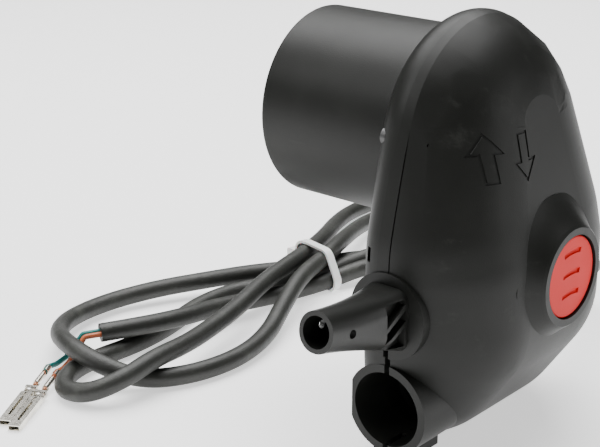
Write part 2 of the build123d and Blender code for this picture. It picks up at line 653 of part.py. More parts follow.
def gear_plate_rear():
    """Rear plate: the motor's seat, bush hole and pillar holes."""
    plate = hull(plate_circles(CAN_R + 1.6), REAR_PLATE_X)
    cuts = [rod_x(10.0, -20, 0, z=MOTOR_Z), rod_x(BUSH_R, -20, 0, z=WORM_Z),
            rod_x(SHAFT_X_R - 1, -20, 0, z=IDLER_Z)]
    cuts += [rod_x(SCREW_R + 0.1, -20, 0, HEAD_Y + y, z) for y, z in PILLARS]
    cuts += [rod_x(2.1, -20, 0, HEAD_Y + s * MOTOR_SCREW_Y, MOTOR_Z) for s in (-1, 1)]
    for cut in cuts:
        plate -= cut
    return one(plate)


def gear_plate_front():
    """Front plate: bushes of the motor and worm shafts, the idler's axle and pillar holes."""
    plate = hull(plate_circles(13.0), FRONT_PLATE_X)
    cuts = [rod_x(BUSH_R, 0, 40, z=MOTOR_Z), rod_x(BUSH_R, 0, 40, z=WORM_Z),
            rod_x(SHAFT_X_R, 0, 40, z=IDLER_Z)]
    cuts += [rod_x(SCREW_R + 0.1, 0, 40, HEAD_Y + y, z) for y, z in PILLARS]
    for cut in cuts:
        plate -= cut
    return one(plate)


def frame_pillars():
    """Four tubes between the plates."""
    x0 = REAR_PLATE_X + PLATE_T
    return [rod_x(PILLAR_R, x0, FRONT_PLATE_X, HEAD_Y + y, z)
            - rod_x(SCREW_R + 0.05, x0 - 1, FRONT_PLATE_X + 1, HEAD_Y + y, z) for y, z in PILLARS]


def frame_screws():
    """Long screws through the rear shell, both plates and the pillars."""
    return [screw(REAR_X + 1.4, FRONT_PLATE_X + PLATE_T + 2.4, HEAD_Y + y, z, head_h=1.4)
            for y, z in PILLARS]


def frame_nuts():
    """Hexagon nuts on the front plate."""
    x0 = FRONT_PLATE_X + PLATE_T
    nuts = []
    for y, z in PILLARS:
        nut = Pos(x0, HEAD_Y + y, z) * Rot(0, 90, 0) * extrude(RegularPolygon(3.5, 6), 2.0)
        nuts.append(nut - rod_x(SCREW_R, x0 - 1, x0 + 3, HEAD_Y + y, z))
    return nuts


def idler_axle():
    """Shouldered axle, riveted in the rear plate and seated in the front plate."""
    axle = rod_x(SHAFT_X_R - 1, REAR_PLATE_X, REAR_PLATE_X + PLATE_T, z=IDLER_Z)
    axle += rod_x(SHAFT_X_R + 1.5, REAR_PLATE_X + PLATE_T, FRONT_PLATE_X, z=IDLER_Z)
    axle += rod_x(SHAFT_X_R, FRONT_PLATE_X, SHAFT_END_X, z=IDLER_Z)
    return one(axle - ring_groove(SHAFT_X_R, IDLER_Z))


def flanged_bush(x0, x1, z, flange):
    """Plain bush on X with a flange on the inner side of its plate."""
    bush = rod_x(BUSH_R, x0, x1, z=z) + rod_x(FLANGE_R, *flange, z=z)
    return one(bush - rod_x(SHAFT_X_R + RUN, x0 - 2, x1 + 2, z=z))


def shaft_bushes():
    front, rear = FRONT_PLATE_X, REAR_PLATE_X + PLATE_T
    return [flanged_bush(front - 1.2, front + PLATE_T, WORM_Z, (front - 1.2, front)),
            flanged_bush(REAR_PLATE_X, rear + 1.2, WORM_Z, (rear, rear + 1.2)),
            flanged_bush(front - 1.2, front + PLATE_T, MOTOR_Z, (front - 1.2, front))]


# ---------------------------------------------------------------- motor

def motor_can():
    """Drawn can, open at the rear, with the front bearing's seat."""
    can = rod_x(CAN_R, CAN_REAR, REAR_PLATE_X, z=MOTOR_Z)
    can -= rod_x(CAN_R - CAN_WALL, CAN_REAR - 1, REAR_PLATE_X - 2, z=MOTOR_Z)
    seat = REAR_PLATE_X - 2 - MOTOR_BEARING_W
    can += rod_x(MOTOR_BEARING_R + 2, seat, REAR_PLATE_X - 1, z=MOTOR_Z)
    can -= rod_x(MOTOR_BEARING_R, seat - 1, REAR_PLATE_X - 2, z=MOTOR_Z)
    can -= rod_x(SHAFT_X_R + 3, seat, REAR_PLATE_X + 1, z=MOTOR_Z)
    for s in (-1, 1):
        can -= rod_x(1.8, REAR_PLATE_X - 3, REAR_PLATE_X + 1, HEAD_Y + s * MOTOR_SCREW_Y, MOTOR_Z)
    return one(can)


def motor_end_bell():
    """Rear end of the motor, with a boss for its bush."""
    bell = (rod_x(CAN_R, CAN_REAR - BELL_T, CAN_REAR, z=MOTOR_Z)
            + rod_x(BELL_BOSS_R, MOTOR_REAR, CAN_REAR, z=MOTOR_Z))
    return one(bell - rod_x(BUSH_R, MOTOR_REAR - 1, CAN_REAR + 1, z=MOTOR_Z))


def motor_rear_bush():
    return one(rod_x(BUSH_R, MOTOR_REAR, CAN_REAR, z=MOTOR_Z)
               - rod_x(SHAFT_X_R + RUN, MOTOR_REAR - 1, CAN_REAR + 1, z=MOTOR_Z))


def motor_front_bearing():
    x1 = REAR_PLATE_X - 2
    return one(bearing("x", SHAFT_X_R + 0.02, MOTOR_BEARING_R,
                       x1 - MOTOR_BEARING_W, MOTOR_BEARING_W, MOTOR_Z))


def motor_screws():
    """Two screws that hold the motor to the rear plate."""
    x0 = REAR_PLATE_X + PLATE_T
    return [screw(x0, REAR_PLATE_X - 2, HEAD_Y + s * MOTOR_SCREW_Y, MOTOR_Z, r=1.8, head_r=3.2)
            for s in (-1, 1)]


def motor_magnets():
    """Two ferrite arcs against the can."""
    x0, x1 = CORE_X[0] - 4, CORE_X[1] + 4
    ring = rod_x(CAN_R - CAN_WALL, x0, x1, z=MOTOR_Z) - rod_x(CORE_R + AIR_GAP, x0 - 1, x1 + 1, z=MOTOR_Z)
    ring -= block(x0 - 1, x1 + 1, 0, 200, MOTOR_Z - 9, MOTOR_Z + 9)
    return ring.solids()


def slot_places(radius):
    return [(HEAD_Y + radius * cos(2 * pi * k / SLOTS), MOTOR_Z + radius * sin(2 * pi * k / SLOTS))
            for k in range(SLOTS)]


def armature_core():
    """Laminated stack with round slots that open at its rim."""
    core = rod_x(CORE_R, *CORE_X, z=MOTOR_Z) - rod_x(SHAFT_X_R, -90, 0, z=MOTOR_Z)
    mouth = block(CORE_X[0] - 1, CORE_X[1] + 1, -0.9, 0.9, 0, CORE_R + 1)
    for k, (y, z) in enumerate(slot_places(CORE_R - 4.5)):
        core -= rod_x(SLOT_R, CORE_X[0] - 1, CORE_X[1] + 1, y, z)
        turn = 360 * k / SLOTS - 90
        core -= Pos(0, HEAD_Y, MOTOR_Z) * Rot(turn, 0, 0) * Pos(0, 0, CORE_R - 4.5) * mouth
    return one(core)


def windings():
    """Copper in the slots, joined by a bundle at each end."""
    coil = None
    for y, z in slot_places(CORE_R - 4.5):
        bar = rod_x(SLOT_R - 0.15, CORE_X[0] - 2, CORE_X[1] + 2, y, z)
        coil = bar if coil is None else coil + bar
    for a, b in ((CORE_X[0] - COIL_L, CORE_X[0] - 0.3), (CORE_X[1] + 0.3, CORE_X[1] + COIL_L)):
        bundle = rod_x(CORE_R - 1.5, a, b, z=MOTOR_Z)
        bundle = fillet(bundle.edges().filter_by(GeomType.CIRCLE), 2.4)
        coil += bundle - rod_x(SHAFT_X_R + 2, a - 1, b + 1, z=MOTOR_Z)
    return one(coil)


def commutator():
    """Copper segments on the shaft."""
    ring = rod_x(COMMUTATOR_R, *COMMUTATOR_X, z=MOTOR_Z) - rod_x(SHAFT_X_R, -90, 0, z=MOTOR_Z)
    for k in range(SLOTS):
        gap = block(COMMUTATOR_X[0] - 1, COMMUTATOR_X[1] + 1, -0.25, 0.25,
                    COMMUTATOR_R - 0.8, COMMUTATOR_R + 1)
        ring -= Pos(0, HEAD_Y, MOTOR_Z) * Rot(360 * (k + 0.5) / SLOTS, 0, 0) * gap
    return one(ring)


def brushes():
    """Two carbon blocks, one each side of the commutator."""
    x = sum(COMMUTATOR_X) / 2
    r0 = COMMUTATOR_R + 0.15
    return [block(x - 2.4, x + 2.4, HEAD_Y + min(s * r0, s * (r0 + 9)), HEAD_Y + max(s * r0, s * (r0 + 9)),
                  MOTOR_Z - 3, MOTOR_Z + 3) for s in (-1, 1)]


def brush_card():
    """Insulating disc at the end bell with a box round each brush."""
    card = rod_x(CAN_R - CAN_WALL - 0.1, CAN_REAR, CAN_REAR + 1.2, z=MOTOR_Z)
    card -= rod_x(COMMUTATOR_R + 1.5, CAN_REAR - 1, CAN_REAR + 3, z=MOTOR_Z)
    x = sum(COMMUTATOR_X) / 2
    for s in (-1, 1):
        y0, y1 = sorted((HEAD_Y + s * (COMMUTATOR_R + 2), HEAD_Y + s * (COMMUTATOR_R + 12)))
        card += block(CAN_REAR + 1, x + 3.4, y0, y1, MOTOR_Z - 4, MOTOR_Z + 4)
        card -= block(x - 2.4, x + 2.4, y0 - 1, y1 + 1, MOTOR_Z - 3, MOTOR_Z + 3)
    return one(card)


def motor_shaft():
    rod = rod_x(SHAFT_X_R, MOTOR_REAR, SHAFT_END_X, z=MOTOR_Z)
    return one(chamfer(rod.edges().filter_by(GeomType.CIRCLE), 0.4))


def motor_pinion():
    gear = gear_x(PINION_TEETH, SHAFT_X_R, GEAR_X[0] - 0.4, GEAR_X[1] + 0.6, MOTOR_Z)
    return one(gear)


# ---------------------------------------------------------------- button and switch

def run_button():
    """Crowned cup with three curved finger grooves, a flange behind the shell's ledge and a stem."""
    cup = rod_x(BUTTON_R, LEDGE_X - FLANGE_T, BUTTON_X, z=BUTTON_Z)
    cup = fillet(cup.faces().sort_by(Axis.X)[-1].edges(), 1.0)
    cup += rod_x(BUTTON_R + 2.0, LEDGE_X - FLANGE_T, LEDGE_X - 0.02, z=BUTTON_Z)
    cup -= rod_x(BUTTON_R - BUTTON_WALL, LEDGE_X - 3, BUTTON_X - BUTTON_WALL, z=BUTTON_Z)
    cup += rod_x(STEM_R, CARRIER_X[1] + 0.1, BUTTON_X - 1, z=BUTTON_Z)
    groove_r, wide = 26.0, 1.2
    for dz in (-9.0, 0.0, 9.0):
        path = Plane.YZ * (Pos(HEAD_Y, BUTTON_Z + dz - groove_r + 2.0) * CenterArc((0, 0), groove_r, 76, 28))
        start = Plane(origin=path @ 0, z_dir=path % 0)
        cup -= Pos(BUTTON_X + 0.4, 0, 0) * sweep(start * Circle(wide), path=path)
    return one(cup)


def button_spring():
    """Return spring between the carrier and the button."""
    x0, x1 = CARRIER_X[1] + SPRING_WIRE / 2 + 0.05, BUTTON_X - BUTTON_WALL - SPRING_WIRE / 2 - 0.05
    helix = Helix((x1 - x0) / SPRING_TURNS, x1 - x0, SPRING_R)
    wire = sweep(Plane(origin=helix @ 0, z_dir=helix % 0) * Circle(SPRING_WIRE / 2), path=helix,
                 is_frenet=True)
    return one(Pos(x0, HEAD_Y, BUTTON_Z) * Rot(0, 90, 0) * wire)


def switch_carrier():
    """Plastic bridge behind the button, with a guide for its stem and clips for the switch."""
    x0, x1 = CARRIER_X
    half = SWITCH[2] / 2 + 2.2
    bridge = block(x0, x1, HEAD_Y - CARRIER_Y, HEAD_Y + CARRIER_Y, BUTTON_Z - half, BUTTON_Z + half)
    bridge = fillet(bridge.edges().filter_by(Axis.X), 4)
    bridge += rod_x(STEM_R + 2, x1, x1 + 2.4, z=BUTTON_Z)
    bridge -= rod_x(STEM_R + 0.08, x0 - 1, x1 + 4, z=BUTTON_Z)
    for s in (-1, 1):
        y = HEAD_Y + s * CARRIER_SCREW_Y
        bridge -= rod_x(1.6, x0 - 1, x1 + 1, y, BUTTON_Z)
        z0, z1 = sorted((BUTTON_Z + s * SWITCH[2] / 2, BUTTON_Z + s * half))
        bridge += block(x0 - 7, x0, HEAD_Y - 12, HEAD_Y + 12, z0, z1)
    return one(bridge)


def carrier_screws():
    return [screw(CARRIER_X[0], FRONT_X - 1.4, HEAD_Y + s * CARRIER_SCREW_Y, BUTTON_Z,
                  r=1.3, head_r=2.6, head_h=1.6)
            for s in (-1, 1)]


def switch_body():
    """Snap-action switch body against the carrier."""
    x1 = CARRIER_X[0]
    body = block(x1 - SWITCH[0], x1, HEAD_Y - SWITCH[1] / 2, HEAD_Y + SWITCH[1] / 2,
                 BUTTON_Z - SWITCH[2] / 2, BUTTON_Z + SWITCH[2] / 2)
    body = fillet(body.edges().filter_by(Axis.Z), 1.0)
    return one(body - rod_x(STEM_R - 0.7, x1 - 4.5, x1 + 1, z=BUTTON_Z))


def switch_plunger():
    """Pin between the stem and the switch's blade."""
    return one(rod_x(STEM_R - 0.75, CARRIER_X[0] - 1.8, CARRIER_X[1] + 0.08, z=BUTTON_Z))


def switch_terminals():
    """Three flat terminals at the back of the switch."""
    x1 = CARRIER_X[0] - SWITCH[0]
    return [block(x1 - 1.6, x1, HEAD_Y + y - 2.4, HEAD_Y + y + 2.4, BUTTON_Z - 0.4, BUTTON_Z + 0.4)
            for y in (-9.0, 0.0, 9.0)]


# ---------------------------------------------------------------- lead

def cable_gland():
    """Tapered strain relief held in a half hole of each shell, with a collar on both sides of the wall."""
    inner = FAR_Y - WALL
    with BuildSketch(Plane.XY) as profile:
        with BuildLine():
            Polyline((0, inner - 2.6), (GLAND_R + 2.2, inner - 2.6), (GLAND_R + 2.2, inner),
                     (GLAND_R, inner),
                     (GLAND_R, FAR_Y), (GLAND_R + 2.6, FAR_Y), (GLAND_R + 2.0, FAR_Y + 2.4),
                     (GLAND_R + 0.4, FAR_Y + 3.2), (CABLE_R + 1.2, GLAND_END), (0, GLAND_END), close=True)
        make_face()
    gland = Pos(0, 0, GLAND_Z) * revolve(profile.sketch, Axis.Y)
    for k in range(3):
        y = FAR_Y + 5.4 + 2.6 * k
        groove = rod_y(GLAND_R + 1, y - 0.5, y + 0.5, z=GLAND_Z)
        gland -= groove - rod_y(CABLE_R + 0.9, y - 1, y + 1, z=GLAND_Z)
    return one(gland - rod_y(CABLE_R, inner - 4, GLAND_END + 1, z=GLAND_Z))


def lead_path():
    """Straight runs of ROUTE joined by arcs that leave a tenth of each run straight."""
    radii = []
    for before, at, after in zip(ROUTE, ROUTE[1:], ROUTE[2:]):
        run, onward = Vector(*at) - Vector(*before), Vector(*after) - Vector(*at)
        turn = radians(run.get_angle(onward))
        radii.append(0.45 * min(run.length, onward.length) / tan(turn / 2))
    print("lead radii", *[round(r, 1) for r in radii])
    return FilletPolyline(*ROUTE, radius=radii)


LEAD = lead_path()


def cable():
    """Round jacket of the lead."""
    tube = sweep(Plane(origin=LEAD @ 0, z_dir=LEAD % 0) * Circle(CABLE_R), path=LEAD)
    print("lead length", round(LEAD.length),
          "volume ratio", round(tube.volume / (pi * CABLE_R ** 2 * LEAD.length), 4))
    return one(tube)


def tie_plane(shift):
    """Plane across the bundle, shifted along it; its local Y points up."""
    way = Vector(*TIE_WAY).normalized()
    return Plane(origin=Vector(*TIE_AT) + way * shift, x_dir=Vector(way.Y, -way.X, 0), z_dir=-way)


def crossings(plane):
    """Where the lead runs through the plane near its origin, in the plane's own X and Y."""
    found = []
    for edge in LEAD.edges():
        low, high = 0.0, 1.0
        first = plane.to_local_coords(edge @ low).Z
        if first * plane.to_local_coords(edge @ high).Z > 0 or (edge @ 0.5 - plane.origin).length > 40:
            continue
        for _ in range(24):
            middle = (low + high) / 2
            if plane.to_local_coords(edge @ middle).Z * first > 0:
                low = middle
            else:
                high = middle
        at = plane.to_local_coords(edge @ low)
        found.append((at.X, at.Y))
    return found


def cable_tie():
    """Plastic strap round the five strands, with its lock on the near side."""
    strands = crossings(tie_plane(-TIE_W / 2)) + crossings(tie_plane(TIE_W / 2))
    reach = CABLE_R * 1.05 + 0.2
    inner = make_hull([Pos(x, y) * Circle(reach).edge() for x, y in strands])
    outer = make_hull([Pos(x, y) * Circle(reach + TIE_T).edge() for x, y in strands])
    left, height = min(strands)
    lock = Pos(left - reach - 3.0, height + 5.0) * RectangleRounded(6.4, 7.6, 1.2)
    strap = extrude(outer - inner, TIE_W / 2, both=True)
    lock_block = extrude(lock, TIE_W * 0.65, both=True) - extrude(inner, TIE_W, both=True)
    return one(tie_plane(0).location * (strap + lock_block))


def wire(name):
    """Insulated wire from the cut end of the jacket into the rear crimp of its terminal."""
    side, corners, rear, tip = WIRES[name]
    out = LEAD % 1
    start = LEAD @ 1 + Vector(out.Y, -out.X, 0).normalized() * side + out * 0.02
    rear, way = Vector(*rear), (Vector(*tip) - Vector(*rear)).normalized()
    path = FilletPolyline(start, start + out * 8, *corners, rear - way, rear + way * 4.6, radius=2.2)
    return one(sweep(Plane(origin=path @ 0, z_dir=path % 0) * Circle(WIRE_R), path=path))


def wire_green():
    return wire("wire_green")


def wire_orange():
    return wire("wire_orange")


def terminal(rear, tip):
    """Stamped terminal: insulation crimp, wire barrel, neck and a slotted box; local X runs forward."""
    rear, tip = Vector(*rear), Vector(*tip)
    way = (tip - rear).normalized()
    place = Plane(origin=rear, x_dir=way, z_dir=Vector(0, 0, 1) - way * way.Z).location
    length = (tip - rear).length

    def tube(outer, inner, x0, x1):
        return rod_x(outer, x0, x1, 0, 0) - rod_x(inner, x0 - 1, x1 + 1, 0, 0)

    body = tube(WIRE_R + 0.45, WIRE_R, 0, 4.4) - block(-1, 5, -0.35, 0.35, 0, 4)
    body += tube(CORE_WIRE_R + 0.45, CORE_WIRE_R, 7.0, 16.0)
    low = -TERMINAL_H / 2
    body += block(3.4, 8.4, -0.9, 0.9, -WIRE_R - 0.45, -WIRE_R - 0.02)
    body += block(4.8, 8.4, -0.9, 0.9, -WIRE_R - 0.45, -CORE_WIRE_R - 0.05)
    body += block(14, 21, -1.4, 1.4, low, -CORE_WIRE_R - 0.05)
    box = block(20, length, -TERMINAL_W / 2, TERMINAL_W / 2, low, -low)
    box -= block(19, length + 1, -TERMINAL_W / 2 + TERMINAL_WALL, TERMINAL_W / 2 - TERMINAL_WALL,
                 low + TERMINAL_WALL, -low - TERMINAL_WALL)
    box -= block(27, length - 5, -0.6, 0.6, 0, 4)
    box -= block(22, 26, -TERMINAL_W, TERMINAL_W, 0.2, 4)
    box += Pos(length - 9, 0, low + 0.95) * Rot(0, -4, 0) * Box(14, 2.4, 0.4)
    return place * (body + box)


def lead_terminals():
    return [terminal(*wire_data[2:]) for wire_data in WIRES.values()]


def wire_cores():
    """Bare copper in each wire barrel."""
    cores = []
    for _, _, rear, tip in WIRES.values():
        way = (Vector(*tip) - Vector(*rear)).normalized()
        plane = Plane(origin=Vector(*rear) + way * 4.6, z_dir=way)
        cores.append(extrude(plane * Circle(CORE_WIRE_R), 13.0))
    return cores


NODES = {
    "motor_cover": motor_cover,
    "reaction_bar_socket": reaction_bar_socket,
    "shell_screws": shell_screws,
    "gear_plate_rear": gear_plate_rear,
    "gear_plate_front": gear_plate_front,
    "frame_pillars": frame_pillars,
    "frame_screws": frame_screws,
    "frame_nuts": frame_nuts,
    "idler_axle": idler_axle,
    "idler_gear": idler_gear,
    "shaft_bushes": shaft_bushes,
    "worm_shaft": worm_shaft,
    "worm_shaft_gear": worm_shaft_gear,
    "worm_shaft_ring": worm_shaft_ring,
    "idler_ring": idler_ring,
    "worm_wheel": worm_wheel,
    "wheel_key": wheel_key,
    "output_shaft": output_shaft,
    "output_hub": output_hub,
    "hub_pin": hub_pin,
    "output_spacer": spacer_sleeve,
    "output_bearings": output_bearings,
    "motor_can": motor_can,
    "motor_end_bell": motor_end_bell,
    "motor_rear_bush": motor_rear_bush,
    "motor_front_bearing": motor_front_bearing,
    "motor_screws": motor_screws,
    "motor_magnets": motor_magnets,
    "armature_core": armature_core,
    "windings": windings,
    "commutator": commutator,
    "brushes": brushes,
    "brush_card": brush_card,
    "motor_shaft": motor_shaft,
    "motor_pinion": motor_pinion,
    "run_button": run_button,
    "button_spring": button_spring,
    "switch_carrier": switch_carrier,
    "carrier_screws": carrier_screws,
    "switch_body": switch_body,
    "switch_plunger": switch_plunger,
    "switch_terminals": switch_terminals,
    "cable_gland": cable_gland,
    "cable": cable,
    "cable_tie": cable_tie,
    "wire_green": wire_green,
    "wire_orange": wire_orange,
    "wire_cores": wire_cores,
    "lead_terminals": lead_terminals,
}

os.makedirs("parts", exist_ok=True)


def save(shape, name):
    """One STEP file per sub-part; a list is a group of separate solids."""
    if isinstance(shape, (list, ShapeList)):
        shape = Compound(children=[one(s) for s in shape])
    export_step(shape, f"parts/{name}.step")


front_shell, rear_shell = shells()
save(front_shell, "front_shell")
save(rear_shell, "rear_shell")
for name, make in NODES.items():
    save(make(), name)
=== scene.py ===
import math

import bpy
import numpy as np
from mathutils import Euler, Matrix, Vector


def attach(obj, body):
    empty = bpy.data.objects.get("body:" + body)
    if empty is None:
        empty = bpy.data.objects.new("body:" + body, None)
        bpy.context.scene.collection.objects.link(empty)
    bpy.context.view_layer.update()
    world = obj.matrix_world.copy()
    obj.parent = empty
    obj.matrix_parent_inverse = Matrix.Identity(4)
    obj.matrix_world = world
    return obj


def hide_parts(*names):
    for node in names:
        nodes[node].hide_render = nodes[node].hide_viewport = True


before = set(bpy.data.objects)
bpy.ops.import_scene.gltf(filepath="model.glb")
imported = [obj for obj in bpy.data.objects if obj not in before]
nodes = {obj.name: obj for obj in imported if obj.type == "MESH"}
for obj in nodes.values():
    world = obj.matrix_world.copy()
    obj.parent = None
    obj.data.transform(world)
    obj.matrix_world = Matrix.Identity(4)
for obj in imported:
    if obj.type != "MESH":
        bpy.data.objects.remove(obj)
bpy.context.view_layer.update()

# ---- Viewpoint: a long lens on the socket side of the head and a little above it, so that the
# button, both sockets, the motor cover and the cut end of the lead all show.
LENS = 86.4
CAMERA_PLACE = (0.3226, -0.4438, 0.2724)
CAMERA_AZIMUTH = math.radians(-49.0865)
CAMERA_ELEVATION = math.radians(19.682)

camera = bpy.data.objects.new("camera", bpy.data.cameras.new("camera"))
camera.data.lens = LENS
turn = Euler((math.pi / 2 - CAMERA_ELEVATION, 0, math.pi / 2 + CAMERA_AZIMUTH)).to_matrix().to_4x4()
camera.matrix_world = Matrix.Translation(CAMERA_PLACE) @ turn
bpy.context.scene.collection.objects.link(camera)
bpy.context.scene.camera = camera

# ---- Lead jacket: two-wire lead in a round black rubber jacket, extruded, then powdered so that
# it does not stick to itself. It leaves the gland, lies on the floor and goes five times through a tie.
LEAD_R = 0.0046
TABLE_Z = -0.0254
LEAD_Z = TABLE_Z + LEAD_R
RUBBER_BLACK, RUBBER_DUSTY = (0.020, 0.0208, 0.0178), (0.064, 0.068, 0.058)


class Wire:
    """A socket of a shader graph; sums and products of it add Math nodes to the graph."""

    def __init__(self, tree, socket):
        self.tree, self.socket = tree, socket

    def node(self, kind, inputs=(), out=0, **settings):
        """Adds a node: settings first, then the values or links of its sockets, by name or place."""
        made = self.tree.nodes.new(kind)
        for name, value in settings.items():
            setattr(made, name, value)
        for key, value in dict(inputs).items():
            socket = made.inputs[key]
            if isinstance(value, Wire):
                self.tree.links.new(value.socket, socket)
            elif hasattr(value, "__len__") and len(value) == 3 and socket.type == "RGBA":
                socket.default_value = (*value, 1.0)
            else:
                socket.default_value = value
        return Wire(self.tree, made.outputs[out]) if made.outputs else None

    def math(self, operation, *values):
        return self.node("ShaderNodeMath", enumerate(values), operation=operation)

    def __add__(self, other):
        return self.math("ADD", self, other)

    def __radd__(self, other):
        return self.math("ADD", other, self)

    def __mul__(self, other):
        return self.math("MULTIPLY", self, other)

    def __rmul__(self, other):
        return self.math("MULTIPLY", other, self)

    def between(self, low, high):
        """0 at low and less, 1 at high and more, smooth between."""
        return self.node("ShaderNodeMapRange", {0: self, 1: low, 2: high, 3: 0.0, 4: 1.0},
                         interpolation_type="SMOOTHSTEP")

    def mix(self, first, second):
        """first where this is 0, second where it is 1; both are colours."""
        return self.node("ShaderNodeMix", {0: self, 6: first, 7: second}, out=2, data_type="RGBA")

    def noise(self, scale, detail=3.0, roughness=0.55, stretch=(1, 1, 1)):
        """Noise at scale cells a metre, drawn out along the axes with a small stretch."""
        place = self.node("ShaderNodeMapping", {0: self, 3: stretch})
        return self.node("ShaderNodeTexNoise", {"Vector": place, "Scale": scale, "Detail": detail,
                                                "Roughness": roughness})


def finish_material(name, colour, roughness, metallic=0.0, bumps=(), fixed=()):
    """New material. colour, roughness and metallic are numbers or functions of the place on the piece;
    bumps are (height function, depth in metres) pairs; fixed are plain values of other sockets."""
    material = bpy.data.materials.new(name)
    material.use_nodes = True
    tree = material.node_tree
    tree.nodes.clear()
    graph = Wire(tree, None)
    place = graph.node("ShaderNodeTexCoord", out=3)
    inputs = {"Base Color": colour, "Roughness": roughness, "Metallic": metallic}
    inputs = {key: value(place) if callable(value) else value for key, value in inputs.items()}
    inputs.update(fixed)
    normal = None
    for height, depth in bumps:
        links = {"Height": height(place), "Distance": depth, "Strength": 1.0}
        if normal is not None:
            links["Normal"] = normal
        normal = graph.node("ShaderNodeBump", links)
    if normal is not None:
        inputs["Normal"] = normal
    shader = graph.node("ShaderNodeBsdfPrincipled", inputs)
    graph.node("ShaderNodeOutputMaterial", {"Surface": shader})
    return material


def rubber_colour(place):
    """Black rubber, paler in broad patches of powder and in small specks."""
    dust = place.noise(90, 5, 0.6).between(0.45, 0.75)
    specks = place.noise(1400, 2, 0.5).between(0.62, 0.74)
    return (dust * 0.6 + specks * 0.5).between(0.0, 1.2).mix(RUBBER_BLACK, RUBBER_DUSTY)


def rubber_roughness(place):
    """Satin, duller in patches and in a fine grain."""
    return 0.36 + 0.16 * place.noise(60, 4, 0.6) + 0.1 * place.noise(900, 2, 0.5)


def on_floor(x, y, lift=0.0):
    """Point in millimetres of the lead's line where it lies on the floor, raised by lift."""
    return (x, y, LEAD_Z * 1000 + lift)


lead_rubber = finish_material(
    "lead_rubber", rubber_colour, rubber_roughness,
    bumps=[(lambda place: place.noise(320, 4, 0.6), 0.00025),
           (lambda place: place.noise(2600, 2, 0.6), 0.00006)],
    fixed={"Specular IOR Level": 0.5})

lead_points = np.array([
    # out of the wall and down to the floor
    (0, 100, 20), (0, 134, 20), (-8, 166, 8), (-31, 189, -7), (-63, 200, -19), on_floor(-97, 194),
    on_floor(-127, 177), on_floor(-149, 156), on_floor(-160, 136),
    # first time through the tie, then the large near loop
    on_floor(-163, 114, 2.5), on_floor(-175, 90, 4), on_floor(-186, 66, 4), on_floor(-199, 42, 3),
    on_floor(-209, 16, 1), on_floor(-206, -12, 2), on_floor(-190, -34, 6), on_floor(-168, -46, 10.3),
    on_floor(-146, -47, 7.5), on_floor(-128, -37, 0.8), on_floor(-115, -16), on_floor(-111, 12),
    on_floor(-117, 39, 1), on_floor(-129, 64, 5.5), on_floor(-140, 90, 10.8),
    # second time, and the inner far loop
    on_floor(-147.2, 117.5, 11.2), on_floor(-157, 146, 11.8), on_floor(-170, 174, 7.5),
    on_floor(-182, 202, 2),
    on_floor(-185, 232), on_floor(-170, 262), on_floor(-140, 275), on_floor(-109, 265), on_floor(-91, 238),
    on_floor(-92, 208, 8.5), on_floor(-107, 181, 11), on_floor(-127, 163, 9.8), on_floor(-143, 145, 4.5),
    # third time, and the tight fold at the near end
    on_floor(-150, 120, 0.2), on_floor(-162, 93), on_floor(-172, 68), on_floor(-171, 42), on_floor(-163, 16),
    on_floor(-160, -10), on_floor(-162.5, -34), on_floor(-160, -53), on_floor(-149, -66),
    on_floor(-133, -64, 2),
    on_floor(-124, -50, 7.5), on_floor(-124, -31, 11), on_floor(-127, -8, 9.2), on_floor(-133, 17, 8.6),
    on_floor(-139, 42, 9.6), on_floor(-147, 66, 11.2), on_floor(-153, 90, 12),
    # fourth time, and the outer far loop
    on_floor(-158.5, 115, 12), on_floor(-171, 146, 9.5), on_floor(-189, 178, 5), on_floor(-203, 210, 1),
    on_floor(-205, 245), on_floor(-190, 278), on_floor(-158, 299), on_floor(-120, 298), on_floor(-88, 277),
    on_floor(-72, 244), on_floor(-73, 210, 11.5), on_floor(-88, 181, 13), on_floor(-113, 159, 10),
    on_floor(-134, 138, 4),
    # fifth time, and the cut end across the near loop
    on_floor(-142, 114), on_floor(-147, 91), on_floor(-152, 67, 1.5), on_floor(-154, 42, 5),
    on_floor(-152, 17, 8.5), on_floor(-156, -6, 10.2), on_floor(-167, -26, 9.6)]) / 1000

lead_data = bpy.data.curves.new("lead_jacket", "CURVE")
lead_data.dimensions = "3D"
lead_line = lead_data.splines.new("NURBS")
lead_line.points.add(len(lead_points) - 1)
lead_line.points.foreach_set("co", np.c_[lead_points, np.ones(len(lead_points))].ravel())
lead_line.order_u = 3
lead_line.use_endpoint_u = True
lead_line.resolution_u = 10
lead_data.bevel_depth = LEAD_R
lead_data.bevel_resolution = 7
lead_data.use_fill_caps = True
lead_data.materials.append(lead_rubber)
lead_jacket = bpy.data.objects.new("lead_jacket", lead_data)
bpy.context.scene.collection.objects.link(lead_jacket)
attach(lead_jacket, "head")
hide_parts("cable")


# ---- Gland: tapered strain relief of moulded rubber round the lead. It sits in a half hole of each
# shell, with a collar on both sides of the wall.
def dress(material, *names):
    """Gives CAD pieces a material in every slot."""
    for name in names:
        for holder in nodes[name].material_slots:
            holder.material = material


dress(lead_rubber, "cable_gland")

# ---- Cable tie: one strap of natural white nylon, moulded with its lock, and drawn tight round the
# five strands of the coil.
tie_nylon = finish_material(
    "tie_nylon", (0.83, 0.84, 0.82), lambda place: 0.28 + 0.12 * place.noise(300, 2),
    bumps=[(lambda place: place.noise(500, 2), 0.00015)],
    fixed={"Subsurface Weight": 0.15, "Subsurface Scale": 0.002})
dress(tie_nylon, "cable_tie")


# ---- Wires: two copper wires, one in green and one in orange PVC. Each is stripped at its end, and
# its bare strands are crimped into a terminal.
def mottled(name, dark, light, patches, roughness, grain):
    """Plain finish between two colours in soft patches. patches and grain are the cells a metre and
    the detail of a noise; roughness is its least value and how much the grain adds."""
    least, added = roughness
    return finish_material(name, lambda place: place.noise(*patches).mix(dark, light),
                           lambda place: least + added * place.noise(*grain))


